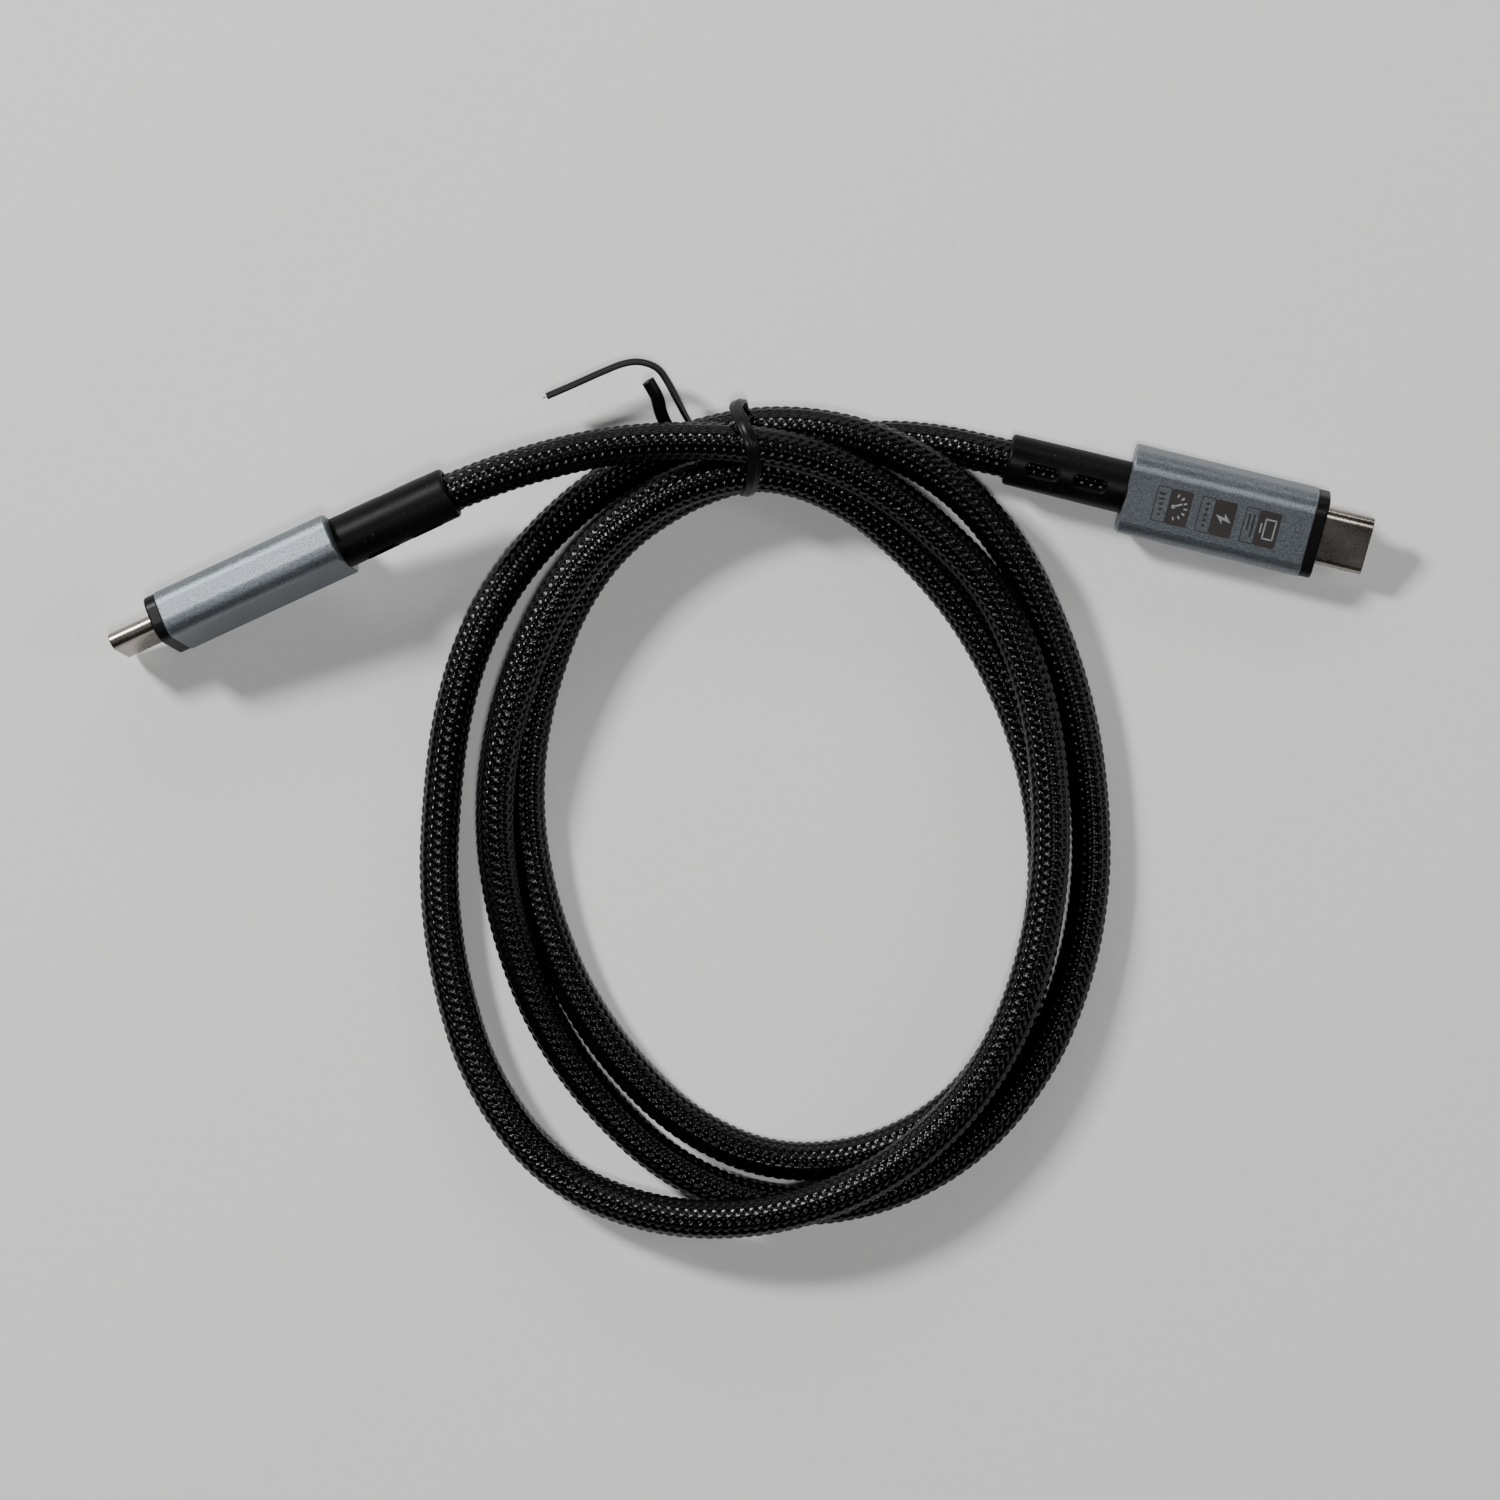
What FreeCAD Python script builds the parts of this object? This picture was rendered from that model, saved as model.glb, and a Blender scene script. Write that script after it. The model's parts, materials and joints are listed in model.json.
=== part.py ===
import FreeCAD, Part
import math
import os

# A braided USB-C charging cable, coiled in three loose turns and held by a twist tie.
# Millimetres. The table is z = 0. The origin is on the table, at the middle of the box that
# holds the two connectors. The left connector points to -X and the right one to +X.
#
# Each connector is built along +X, with x = 0 at the back face of its housing, y across its
# width and z across its thickness, and is then rolled, pitched, turned and moved into place.

Vector = FreeCAD.Vector
X_AXIS = Vector(1, 0, 0)
Y_AXIS = Vector(0, 1, 0)
Z_AXIS = Vector(0, 0, 1)

# Housing, collar and boot
HOUSING_LENGTH = 25.9
HOUSING_WIDTH = 12.2
HOUSING_THICKNESS = 7.1
HOUSING_CORNER = 2.4
HOUSING_WALL = 0.7
HOUSING_BACK_WALL = 1.2
RIM_CHAMFER = 0.22
COLLAR_LENGTH = 1.6
COLLAR_INSET = 0.13
BOOT_LENGTH = 16.8
BOOT_END_RADIUS = 3.55
BOOT_ROOT_RADIUS = 3.65
BOOT_NECK_RADIUS = 2.75
BOOT_SLOT_CENTRES = (-11.8, -5.1)
BOOT_SLOT_LENGTH = 4.6
BOOT_SLOT_WIDTH = 1.9
HINGE_X = -8.4

# USB-C plug: the standard's shell is 8.25 x 2.40 mm outside
SHELL_WIDTH = 8.25
SHELL_THICKNESS = 2.40
SHELL_WALL = 0.20
SHELL_EXPOSED = 6.70
COLLAR_FRONT = HOUSING_LENGTH + COLLAR_LENGTH
TIP = COLLAR_FRONT + SHELL_EXPOSED
SHELL_BACK = TIP - 12.0
CONTACT_COUNT = 12
CONTACT_PITCH = 0.50
CONTACT_WIDTH = 0.25
CONTACT_BASE = TIP - 6.15
CAVITY_HALF_WIDTH = 3.30
CAVITY_HALF_HEIGHT = 0.55
ARM_INNER = 3.42
ARM_THICKNESS = 0.18
ARM_HALF_HEIGHT = 0.35

# Inside the housing
BOARD_FRONT = TIP - 13.3
BOARD_LENGTH = 9.6
BOARD_WIDTH = 8.4
BOARD_THICKNESS = 0.8
CAN_BACK = 7.0
CAN_WIDTH = 9.4
CAN_THICKNESS = 4.6
CAN_WALL = 0.15
CORE_RADIUS = 2.2
FERRULE_RADIUS = 2.6

# Cable and coil
CABLE_RADIUS = 2.65
COIL_CENTRE = (3.48, -34.89)
COIL_HEIGHT = 10.7
COIL_ROUND = 2.6
# radii of the coil's outside and inside, clockwise from +Y in steps of 30 degrees
COIL_OUTSIDE = (54.2, 53.1, 47.7, 46.6, 51.2, 56.9, 59.5, 61.1, 51.9, 47.0, 48.5, 51.2)
COIL_INSIDE = (42.7, 36.8, 33.5, 34.5, 39.3, 46.6, 45.8, 37.4, 32.3, 30.7, 32.6, 38.7)

# Twist tie: a flat ribbon with a steel wire along its middle
TIE_X = 0.3
TIE_WIDTH = 1.8
TIE_THICKNESS = 0.5
TIE_WIRE_RADIUS = 0.16
TIE_Y = (6.6, 19.8)
TIE_TOP = 15.0
TIE_CORNER = 4.2
LONG_TAIL = (
    (-7.2, 16.6), (-8.6, 19.6), (-10.2, 22.7), (-12.3, 25.0),
    (-15.0, 25.7), (-18.0, 24.8), (-22.4, 22.8), (-27.0, 21.0),
)
LONG_TAIL_BASE = 5.2
SHORT_TAIL = ((-9.6, 16.0, 6.6), (-11.3, 19.6, 7.4), (-13.2, 22.8, 8.9))
TWIST_RADIUS = 0.75
TWIST_START = (-0.4, 15.5, 0.85)
TWIST_END = (-6.9, 16.2, 1.3)

# Where each connector's housing back face stands: position, heading, nose-down pitch and roll
LEFT = {"at": (-54.87, 0.19, 9.75), "heading": 204.4, "pitch": 7.5, "roll": -76.5}
RIGHT = {"at": (52.73, 7.99, 4.746), "heading": -13.7, "pitch": 0.0, "roll": 20.0}


def placement(connector):
    roll = FreeCAD.Rotation(X_AXIS, connector["roll"])
    pitch = FreeCAD.Rotation(Y_AXIS, connector["pitch"])
    heading = FreeCAD.Rotation(Z_AXIS, connector["heading"])
    turned = heading.multiply(pitch.multiply(roll))
    return FreeCAD.Placement(Vector(*connector["at"]), turned)


def on_axis(connector, x):
    """A point on a connector's centre line, in the part's frame."""
    return placement(connector).multVec(Vector(x, 0, 0))


# Routes of the two leads. Each starts inside its boot and ends among the coil's turns.
LEFT_LEAD = (
    on_axis(LEFT, HINGE_X - 0.7),
    on_axis(LEFT, -18.5),
    Vector(-28.3, 11.1, 12.0),
    Vector(-18.6, 13.4, 11.3),
    Vector(-9.0, 14.1, 11.4),
    Vector(0.3, 13.7, 12.0),
    Vector(9.4, 12.2, 11.2),
    Vector(17.8, 8.6, 9.4),
    Vector(25.2, 3.2, 8.4),
)
RIGHT_LEAD = (
    on_axis(RIGHT, HINGE_X - 0.7),
    on_axis(RIGHT, -18.5),
    Vector(26.0, 14.4, 3.4),
    Vector(17.4, 14.8, 2.75),
    Vector(9.0, 12.9, 2.65),
    Vector(1.2, 10.5, 2.65),
)


# Basic shapes

def outline(x, width, thickness, corner):
    """A closed wire in the plane at x: a rectangle with round corners, or an obround."""
    half_w = width / 2
    half_t = thickness / 2
    corner = min(corner, half_t, half_w)
    y0 = half_w - corner
    z0 = half_t - corner
    edges = []
    centres = ((y0, z0, 0), (-y0, z0, 90), (-y0, -z0, 180), (y0, -z0, 270))
    spots = []
    for y, z, start in centres:
        points = []
        for step in (0, 45, 90):
            angle = math.radians(start + step)
            points.append(Vector(x, y + corner * math.cos(angle), z + corner * math.sin(angle)))
        spots.append(points)
    for index, points in enumerate(spots):
        edges.append(Part.Arc(*points).toShape())
        follower = spots[(index + 1) % len(spots)][0]
        if points[2].distanceToPoint(follower) > 1e-6:
            edges.append(Part.LineSegment(points[2], follower).toShape())
    return Part.Wire(edges)


def bar(x0, x1, width, thickness, corner):
    """A bar along X with round corners."""
    face = Part.Face(outline(x0, width, thickness, corner))
    return face.extrude(Vector(x1 - x0, 0, 0))


def box(x0, x1, y0, y1, z0, z1):
    return Part.makeBox(x1 - x0, y1 - y0, z1 - z0, Vector(x0, y0, z0))


def rod(x0, x1, radius):
    return Part.makeCylinder(radius, x1 - x0, Vector(x0, 0, 0), X_AXIS)


def end_edges(shape, x):
    """The edges that lie in the plane at x."""
    found = []
    for edge in shape.Edges:
        low = edge.BoundBox.XMin
        high = edge.BoundBox.XMax
        if abs(low - x) < 1e-4 and abs(high - x) < 1e-4:
            found.append(edge)
    return found


def mirrored(shape):
    """The same shape on the other face of the plug."""
    return shape.mirror(Vector(0, 0, 0), Z_AXIS)


def contact_rows():
    first = -(CONTACT_COUNT - 1) * CONTACT_PITCH / 2
    return [first + i * CONTACT_PITCH for i in range(CONTACT_COUNT)]


def strip(profile, y, width):
    """A flat profile in X and Z, given as corners, made into a strip that is centred on y."""
    points = [Vector(x, y - width / 2, z) for x, z in profile]
    face = Part.Face(Part.makePolygon(points + points[:1]))
    return face.extrude(Vector(0, width, 0))


def bent_rod(points, radius):
    """A rod along straight runs, with a ball at each bend."""
    shape = None
    for start, end in zip(points, points[1:]):
        run = Part.makeCylinder(radius, start.distanceToPoint(end), start, end - start)
        shape = run if shape is None else shape.fuse(run)
    for point in points[1:-1]:
        shape = shape.fuse(Part.makeSphere(radius, point))
    return shape.removeSplitter()


# Outside of a connector

def housing():
    outer = bar(0, HOUSING_LENGTH, HOUSING_WIDTH, HOUSING_THICKNESS, HOUSING_CORNER)
    rims = end_edges(outer, 0) + end_edges(outer, HOUSING_LENGTH)
    outer = outer.makeChamfer(RIM_CHAMFER, rims)
    inside_width = HOUSING_WIDTH - 2 * HOUSING_WALL
    inside_thickness = HOUSING_THICKNESS - 2 * HOUSING_WALL
    inside_corner = HOUSING_CORNER - HOUSING_WALL
    inside = bar(HOUSING_BACK_WALL, HOUSING_LENGTH + 1, inside_width, inside_thickness, inside_corner)
    return outer.cut(inside).cut(rod(-1, HOUSING_BACK_WALL + 1, BOOT_NECK_RADIUS + 0.05))


def front_collar():
    width = HOUSING_WIDTH - 2 * COLLAR_INSET
    thickness = HOUSING_THICKNESS - 2 * COLLAR_INSET
    nose = bar(HOUSING_LENGTH, COLLAR_FRONT, width, thickness, HOUSING_CORNER - COLLAR_INSET)
    nose = nose.makeFillet(0.35, end_edges(nose, COLLAR_FRONT))
    gap = 2 * HOUSING_WALL + 0.1
    spigot_corner = HOUSING_CORNER - HOUSING_WALL - 0.05
    spigot = bar(
        SHELL_BACK + 0.9, HOUSING_LENGTH,
        HOUSING_WIDTH - gap, HOUSING_THICKNESS - gap, spigot_corner,
    )
    hole = bar(SHELL_BACK, TIP, SHELL_WIDTH + 0.06, SHELL_THICKNESS + 0.06, SHELL_THICKNESS)
    return nose.fuse(spigot).cut(hole).removeSplitter()


def slot_cutter(x):
    """An obround hole through the boot from face to face, with its middle at x."""
    straight = BOOT_SLOT_LENGTH - BOOT_SLOT_WIDTH
    radius = BOOT_SLOT_WIDTH / 2
    reach = 2 * BOOT_ROOT_RADIUS
    cutter = box(x - straight / 2, x + straight / 2, -radius, radius, -reach, reach)
    for end in (x - straight / 2, x + straight / 2):
        cutter = cutter.fuse(Part.makeCylinder(radius, 2 * reach, Vector(end, 0, -reach)))
    return cutter


def boot():
    sleeve = Part.makeCone(
        BOOT_END_RADIUS, BOOT_ROOT_RADIUS, BOOT_LENGTH - 0.02, Vector(-BOOT_LENGTH, 0, 0), X_AXIS
    )
    sleeve = sleeve.makeFillet(0.3, end_edges(sleeve, -BOOT_LENGTH))
    neck = rod(-0.5, HOUSING_BACK_WALL + 0.05, BOOT_NECK_RADIUS)
    flange = bar(HOUSING_BACK_WALL + 0.02, HOUSING_BACK_WALL + 1.0, 8.0, 5.4, 1.6)
    cable_bore = rod(-BOOT_LENGTH - 1, HINGE_X, CABLE_RADIUS + 0.05)
    core_bore = rod(HINGE_X - 1, 5, CORE_RADIUS + 0.05)
    shape = sleeve.fuse(neck).fuse(flange).cut(cable_bore).cut(core_bore)
    for x in BOOT_SLOT_CENTRES:
        shape = shape.cut(slot_cutter(x))
    return shape


# The plug

def plug_shell():
    tube = bar(SHELL_BACK, TIP, SHELL_WIDTH, SHELL_THICKNESS, SHELL_THICKNESS)
    tube = tube.makeFillet(0.12, end_edges(tube, TIP))
    flange = bar(SHELL_BACK, SHELL_BACK + 0.7, SHELL_WIDTH + 1.2, SHELL_THICKNESS + 1.2, 1.2)
    inner_width = SHELL_WIDTH - 2 * SHELL_WALL
    inner_thickness = SHELL_THICKNESS - 2 * SHELL_WALL
    inside = bar(SHELL_BACK - 1, TIP + 1, inner_width, inner_thickness, inner_thickness)
    return tube.fuse(flange).cut(inside).removeSplitter()


def insulator_block(x0, x1):
    """A moulded block that just fits in the shell."""
    gap = 2 * SHELL_WALL + 0.06
    thickness = SHELL_THICKNESS - gap
    return bar(x0, x1, SHELL_WIDTH - gap, thickness, thickness)


def front_insulator():
    """Front part of the plug's core: a cavity for the tongue, with a slot for each contact."""
    block = insulator_block(CONTACT_BASE - 0.1, TIP - 0.2)
    cavity = box(
        CONTACT_BASE, TIP + 1,
        -CAVITY_HALF_WIDTH, CAVITY_HALF_WIDTH, -CAVITY_HALF_HEIGHT, CAVITY_HALF_HEIGHT,
    )
    block = block.cut(cavity)
    for y in contact_rows():
        block = block.cut(box(CONTACT_BASE - 1, TIP - 1.3, y - 0.17, y + 0.17, -2, 2))
    for side in (-1, 1):
        low, high = sorted((side * (ARM_INNER - 0.35), side * SHELL_WIDTH))
        block = block.cut(box(CONTACT_BASE - 1, TIP - 1.3, low, high, -0.45, 0.45))
    for z0, z1 in ((0.79, 2), (-2, -0.79)):
        block = block.cut(box(TIP - 1.27, TIP - 0.33, -2.65, 2.65, z0, z1))
    for y in (-1.8, 0, 1.8):
        block = block.cut(box(TIP - 1.27, TIP - 0.95, y - 0.5, y + 0.5, -2, 2))
    return block


def contact_beams():
    """The springy front halves of one row of contacts."""
    base = CONTACT_BASE
    profile = (
        (base + 0.03, 0.62), (base + 1.0, 0.62), (base + 4.0, 0.30), (base + 4.6, 0.50),
        (base + 4.6, 0.65), (base + 4.0, 0.46), (base + 1.0, 0.77), (base + 0.03, 0.77),
    )
    return Part.Compound([strip(profile, y, CONTACT_WIDTH) for y in contact_rows()])


def contact_tails():
    """The fixed rear halves of both rows, from the beams back to the board's pads."""
    pad = BOARD_THICKNESS / 2 + 0.02
    base = CONTACT_BASE - 0.03
    step = BOARD_FRONT + 0.25
    profile = (
        (base, 0.62), (step + 0.3, 0.62), (step, pad), (BOARD_FRONT - 1.6, pad),
        (BOARD_FRONT - 1.6, pad + 0.15), (step - 0.1, pad + 0.15), (step + 0.2, 0.77), (base, 0.77),
    )
    upper = [strip(profile, y, CONTACT_WIDTH) for y in contact_rows()]
    lower = [mirrored(tail) for tail in upper]
    return Part.Compound(upper + lower)


def rear_insulator():
    """Rear part of the core: it clamps the contact tails and the latch plate."""
    block = insulator_block(BOARD_FRONT + 0.6, CONTACT_BASE - 0.15)
    for y in contact_rows():
        for z0, z1 in ((0.6, 2), (-2, -0.6)):
            block = block.cut(box(BOARD_FRONT, TIP, y - 0.15, y + 0.15, z0, z1))
    half = ARM_INNER + ARM_THICKNESS + 0.04
    return block.cut(box(BOARD_FRONT, TIP, -half, half, -0.12, 0.12))


def latch_plate():
    """The flat middle of the latch, between the two rows of contacts."""
    half = ARM_INNER + ARM_THICKNESS
    return box(BOARD_FRONT + 1.2, CONTACT_BASE - 0.2, -half, half, -0.1, 0.1)


def latch_arm(side):
    """A side arm of the latch, whose hook holds the plug in its socket."""
    x0 = CONTACT_BASE - 0.1
    hook = x0 + 4.0
    inner = ARM_INNER
    outer = ARM_INNER + ARM_THICKNESS
    corners = (
        (x0, inner), (hook - 0.6, inner), (hook - 0.1, inner - 0.30), (hook + 0.25, inner - 0.30),
        (hook + 0.6, inner), (hook + 0.6, outer), (x0, outer),
    )
    points = [Vector(x, side * y, -ARM_HALF_HEIGHT) for x, y in corners]
    face = Part.Face(Part.makePolygon(points + points[:1]))
    return face.extrude(Vector(0, 0, 2 * ARM_HALF_HEIGHT))


def emc_spring():
    """A grounding spring just behind the mouth: a plate with three fingers."""
    plate = box(TIP - 1.25, TIP - 0.35, -2.6, 2.6, 0.81, 0.95)
    for y in (-1.8, 0, 1.8):
        plate = plate.fuse(box(TIP - 1.2, TIP - 1.06, y - 0.4, y + 0.4, 0.47, 0.82))
    return plate.removeSplitter()


# Inside the housing

def paddle_board():
    x0 = BOARD_FRONT - BOARD_LENGTH
    half_t = BOARD_THICKNESS / 2
    half_w = BOARD_WIDTH / 2
    board = box(x0, BOARD_FRONT - 1.8, -half_w, half_w, -half_t, half_t)
    tongue = box(BOARD_FRONT - 2, BOARD_FRONT, -3.4, 3.4, -half_t, half_t)
    return board.fuse(tongue).removeSplitter()


def emarker_chip():
    """The chip that tells the charger what the cable can carry."""
    z0 = BOARD_THICKNESS / 2 + 0.01
    x0 = BOARD_FRONT - 5.2
    return box(x0, x0 + 2.2, -1.1, 1.1, z0, z0 + 0.6)


def board_capacitors():
    z0 = BOARD_THICKNESS / 2 + 0.01
    x0 = BOARD_FRONT - 4.6
    pieces = [box(x0, x0 + 0.6, y, y + 0.35, z0, z0 + 0.35) for y in (-3.0, -2.2, 2.0, 2.8)]
    pieces += [mirrored(piece) for piece in pieces[:2]]
    return Part.Compound(pieces)


def signal_wires():
    """Ten insulated wires that fan out from the cable's core to the board."""
    radius = 0.42
    z_pad = BOARD_THICKNESS / 2 + radius + 0.02
    start = CAN_BACK + 0.2
    pad_back = BOARD_FRONT - BOARD_LENGTH + 0.2
    pieces = []
    for side in (-1, 1):
        for number in range(-2, 3):
            bundle = Vector(start, 0.88 * number, side * 0.5)
            at_pad = Vector(pad_back, 1.7 * number, side * z_pad)
            end = Vector(pad_back + 1.8, 1.7 * number, side * z_pad)
            pieces.append(bent_rod([bundle, at_pad, end], radius))
    return Part.Compound(pieces)


def shield_can():
    """The upper half of the folded steel shield round the board."""
    back = CAN_BACK
    front = SHELL_BACK - 0.2
    whole = bar(back, front, CAN_WIDTH, CAN_THICKNESS, 0.4)
    inside = bar(
        back - 1, front + 1, CAN_WIDTH - 2 * CAN_WALL, CAN_THICKNESS - 2 * CAN_WALL, 0.25
    )
    lower_half = box(back - 2, front + 2, -CAN_WIDTH, CAN_WIDTH, -CAN_THICKNESS, 0.04)
    return whole.cut(inside).cut(lower_half)


def inner_mould():
    """The moulded sleeve that fills the space between the shield and the housing."""
    gap = 2 * HOUSING_WALL + 0.1
    back = CAN_BACK
    front = SHELL_BACK - 0.2
    corner = HOUSING_CORNER - HOUSING_WALL - 0.05
    outer = bar(back, front, HOUSING_WIDTH - gap, HOUSING_THICKNESS - gap, corner)
    return outer.cut(bar(back - 1, front + 1, CAN_WIDTH + 0.06, CAN_THICKNESS + 0.06, 0.42))


def crimp_ferrule():
    x0 = HOUSING_BACK_WALL + 1.1
    x1 = CAN_BACK - 0.3
    shape = rod(x0, x1, FERRULE_RADIUS).cut(rod(x0 - 1, x1 + 1, CORE_RADIUS + 0.03))
    for x in (x0 + 1.0, x0 + 2.2, x0 + 3.4):
        groove = rod(x, x + 0.4, FERRULE_RADIUS + 1).cut(rod(x - 1, x + 1, FERRULE_RADIUS - 0.15))
        shape = shape.cut(groove)
    return shape


def cable_core():
    """The jacketed core of the cable inside the boot and the ferrule."""
    return rod(HINGE_X + 0.4, CAN_BACK, CORE_RADIUS)


def connector_parts():
    beams = contact_beams()
    can = shield_can()
    spring = emc_spring()
    return {
        "housing": housing(),
        "front_collar": front_collar(),
        "boot": boot(),
        "plug_shell": plug_shell(),
        "front_insulator": front_insulator(),
        "rear_insulator": rear_insulator(),
        "contacts_upper": beams,
        "contacts_lower": mirrored(beams),
        "contact_tails": contact_tails(),
        "latch_plate": latch_plate(),
        "latch_arm_a": latch_arm(1),
        "latch_arm_b": latch_arm(-1),
        "emc_spring_upper": spring,
        "emc_spring_lower": mirrored(spring),
        "paddle_board": paddle_board(),
        "emarker_chip": emarker_chip(),
        "board_capacitors": board_capacitors(),
        "signal_wires": signal_wires(),
        "shield_can_upper": can,
        "shield_can_lower": mirrored(can),
        "inner_mould": inner_mould(),
        "crimp_ferrule": crimp_ferrule(),
        "cable_core": cable_core(),
    }


# Cable

def route_edges(points):
    """Straight runs joined by arcs that are as large as their runs allow, and the arcs' radii."""
    edges = []
    radii = []
    start = points[0]
    for before, corner, after in zip(points, points[1:], points[2:]):
        to_before = (before - corner).normalize()
        to_after = (after - corner).normalize()
        shorter = min(corner.distanceToPoint(before), corner.distanceToPoint(after))
        tangent = 0.45 * shorter
        half_turn = (math.pi - to_before.getAngle(to_after)) / 2
        radius = tangent / math.tan(half_turn)
        first = corner + to_before * tangent
        last = corner + to_after * tangent
        inward = (to_before + to_after).normalize()
        middle = corner + inward * (radius / math.cos(half_turn) - radius)
        edges.append(Part.LineSegment(start, first).toShape())
        edges.append(Part.Arc(first, middle, last).toShape())
        radii.append(radius)
        start = last
    edges.append(Part.LineSegment(start, points[-1]).toShape())
    return edges, radii


def cable_lead(name, points):
    edges, radii = route_edges(points)
    path = Part.Wire(edges)
    ring = Part.makeCircle(CABLE_RADIUS, points[0], points[1] - points[0])
    tube = path.makePipeShell([Part.Wire(ring)], True, False)
    expected = math.pi * CABLE_RADIUS ** 2 * path.Length
    print(name, "length", round(path.Length, 1), "arc radii", [round(r, 1) for r in radii])
    print(name, "volume", round(tube.Volume, 1), "of", round(expected, 1))
    return tube


def coil_ring(radii, inset, height):
    """A smooth closed curve round the coil's middle, through the given radii less the inset."""
    points = []
    for number, radius in enumerate(radii):
        angle = math.radians(90 - number * 360 / len(radii))
        x = COIL_CENTRE[0] + (radius - inset) * math.cos(angle)
        y = COIL_CENTRE[1] + (radius - inset) * math.sin(angle)
        points.append(Vector(x, y, height))
    curve = Part.BSplineCurve()
    curve.interpolate(points, PeriodicFlag=True)
    return Part.Wire(curve.toShape())


def coil_wall(radii, bulge):
    """The closed body inside one side of the coil. bulge is 1 outside and -1 in the hole."""
    reach = COIL_ROUND * (1 - math.sqrt(0.5))
    levels = (
        (0, COIL_ROUND * 0.8), (reach, reach), (COIL_ROUND, 0),
        (COIL_HEIGHT - COIL_ROUND, 0), (COIL_HEIGHT - reach, reach), (COIL_HEIGHT, COIL_ROUND * 0.8),
    )
    rings = [coil_ring(radii, bulge * inset, z) for z, inset in levels]
    return Part.makeLoft(rings, True, False)


def cable_coil():
    """The outer shape of the three turns, as one solid."""
    outside = coil_wall(COIL_OUTSIDE, 1)
    hole = coil_wall(COIL_INSIDE, -1)
    return outside.cut(hole)


# Twist tie

def tie_loop(inset, half_width):
    """The loop of the tie round the bundle: a closed outline in Y and Z, made into a band."""
    y_mid = (TIE_Y[0] + TIE_Y[1]) / 2
    width = TIE_Y[1] - TIE_Y[0] - 2 * inset
    height = TIE_TOP - 2 * inset
    face = Part.Face(outline(-half_width, width, height, TIE_CORNER - inset))
    band = face.extrude(Vector(2 * half_width, 0, 0))
    band.translate(Vector(TIE_X, y_mid, TIE_TOP / 2))
    return band


def long_tail(half_thickness, low, high):
    """The long free end, a thin wall that stands on its edge."""
    left = []
    right = []
    for number, point in enumerate(LONG_TAIL):
        before = LONG_TAIL[max(number - 1, 0)]
        after = LONG_TAIL[min(number + 1, len(LONG_TAIL) - 1)]
        along = Vector(after[0] - before[0], after[1] - before[1], 0).normalize()
        across = Vector(-along.y, along.x, 0) * half_thickness
        left.append(Vector(point[0], point[1], low) + across)
        right.append(Vector(point[0], point[1], low) - across)
    corners = left + right[::-1]
    face = Part.Face(Part.makePolygon(corners + corners[:1]))
    return face.extrude(Vector(0, 0, high - low))


def short_tail():
    """The short free end, a flat strip that points away from the cable."""
    half = TIE_WIDTH / 2
    pieces = []
    for start, end in zip(SHORT_TAIL, SHORT_TAIL[1:]):
        a = Vector(*start)
        b = Vector(*end)
        across = (b - a).cross(Z_AXIS).normalize() * half
        face = Part.Face(Part.makePolygon([a - across, a + across, b + across, b - across, a - across]))
        pieces.append(face.extrude(Vector(0, 0, TIE_THICKNESS)))
    return pieces[0].fuse(pieces[1:]).removeSplitter()


def tie_wire():
    """The steel wire inside the loop of the tie."""
    middle = TIE_THICKNESS / 2
    outer = tie_loop(middle - TIE_WIRE_RADIUS, TIE_WIRE_RADIUS)
    return outer.cut(tie_loop(middle + TIE_WIRE_RADIUS, 2 * TIE_WIRE_RADIUS))


def twist():
    """The twisted pair of ends that runs under the cable, out to where the ends part."""
    parting = Vector(*TWIST_END)
    long_end = Vector(*LONG_TAIL[0], LONG_TAIL_BASE + TIE_WIDTH / 2)
    pair = bent_rod([Vector(*TWIST_START), parting, long_end], TWIST_RADIUS)
    return pair.fuse(bent_rod([parting, Vector(*SHORT_TAIL[0])], TWIST_RADIUS))


def tie_ribbon():
    band = tie_loop(0, TIE_WIDTH / 2).cut(tie_loop(TIE_THICKNESS, TIE_WIDTH))
    low = LONG_TAIL_BASE
    tail = long_tail(TIE_THICKNESS / 2, low, low + TIE_WIDTH)
    ribbon = band.fuse([twist(), tail, short_tail()]).removeSplitter()
    return ribbon.cut(tie_wire())


def write(name, shape):
    shape.exportStep(os.path.join("parts", name + ".step"))


def main():
    os.makedirs("parts", exist_ok=True)
    parts = connector_parts()
    for side, connector in (("left", LEFT), ("right", RIGHT)):
        place = placement(connector)
        for name, shape in parts.items():
            placed = shape.copy()
            placed.Placement = place.multiply(placed.Placement)
            write(side + "_" + name, placed)
    write("cable_left_lead", cable_lead("left lead", LEFT_LEAD))
    write("cable_right_lead", cable_lead("right lead", RIGHT_LEAD))
    write("cable_coil", cable_coil())
    write("tie_ribbon", tie_ribbon())
    write("tie_wire", tie_wire())


main()
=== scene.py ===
import json
import math

import bpy
import numpy as np
from mathutils import Matrix, Vector

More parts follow.
